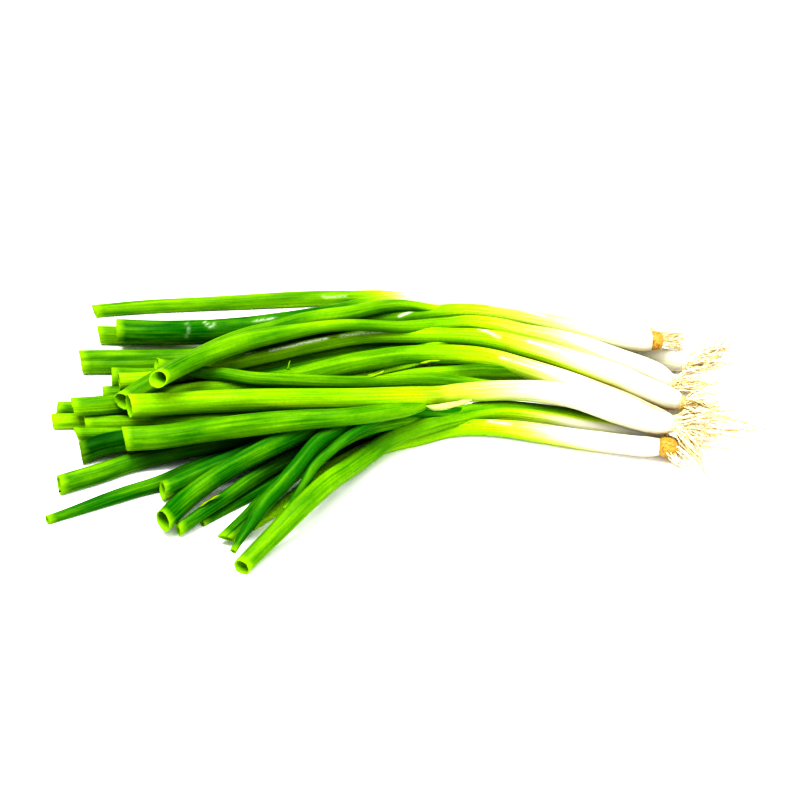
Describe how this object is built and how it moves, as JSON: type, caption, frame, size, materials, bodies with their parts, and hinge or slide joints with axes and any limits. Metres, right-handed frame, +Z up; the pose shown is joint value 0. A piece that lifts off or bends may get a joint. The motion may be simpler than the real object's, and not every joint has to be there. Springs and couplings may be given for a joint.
{
  "type": "spring onion bunch",
  "caption": "Loose bunch of spring onions lying on a table, pale shanks with fine roots at one end and hollow green leaves cut square at the other",
  "frame": {"origin": "on the table the bunch lies on, under the middle of its bounding box", "axes": "+X from the cut leaves toward the roots, +Z up from the table, +Y toward the far side of the bunch"},
  "size_m": [0.2844, 0.1541, 0.0321],
  "materials": {
    "shank": "smooth moist white layers with fine lengthwise veins, turning yellow-green toward the leaves",
    "leaf": "bright green hollow leaf, finely ribbed lengthwise, with a soft waxy shine and paler cut rim",
    "roots": "cream to straw-coloured dry threads on a brown root plate"
  },
  "bodies": {
    "root": {"onion_1_leaf_1": "leaf", "onion_1_leaf_2": "leaf", "onion_1_roots": "roots", "onion_1_shank": "shank", "onion_2_leaf_1": "leaf", "onion_2_leaf_2": "leaf", "onion_2_roots": "roots", "onion_2_shank": "shank", "onion_3_leaf_1": "leaf", "onion_3_leaf_2": "leaf", "onion_3_roots": "roots", "onion_3_shank": "shank", "onion_4_leaf_1": "leaf", "onion_4_leaf_2": "leaf", "onion_4_roots": "roots", "onion_4_shank": "shank", "onion_5_leaf_1": "leaf", "onion_5_leaf_2": "leaf", "onion_5_leaf_3": "leaf", "onion_5_roots": "roots", "onion_5_shank": "shank", "onion_6_leaf_1": "leaf", "onion_6_leaf_2": "leaf", "onion_6_leaf_3": "leaf", "onion_6_roots": "roots", "onion_6_shank": "shank", "onion_7_leaf_1": "leaf", "onion_7_leaf_2": "leaf", "onion_7_leaf_3": "leaf", "onion_7_leaf_4": "leaf", "onion_7_leaf_5": "leaf", "onion_7_leaf_6": "leaf", "onion_7_roots": "roots", "onion_7_shank": "shank", "onion_8_leaf_1": "leaf", "onion_8_leaf_2": "leaf", "onion_8_leaf_3": "leaf", "onion_8_leaf_4": "leaf", "onion_8_leaf_5": "leaf", "onion_8_roots": "roots", "onion_8_shank": "shank", "onion_9_leaf_1": "leaf", "onion_9_leaf_2": "leaf", "onion_9_leaf_3": "leaf", "onion_9_leaf_4": "leaf", "onion_9_leaf_5": "leaf", "onion_9_roots": "roots", "onion_9_shank": "shank"}
  },
  "joints": []
}
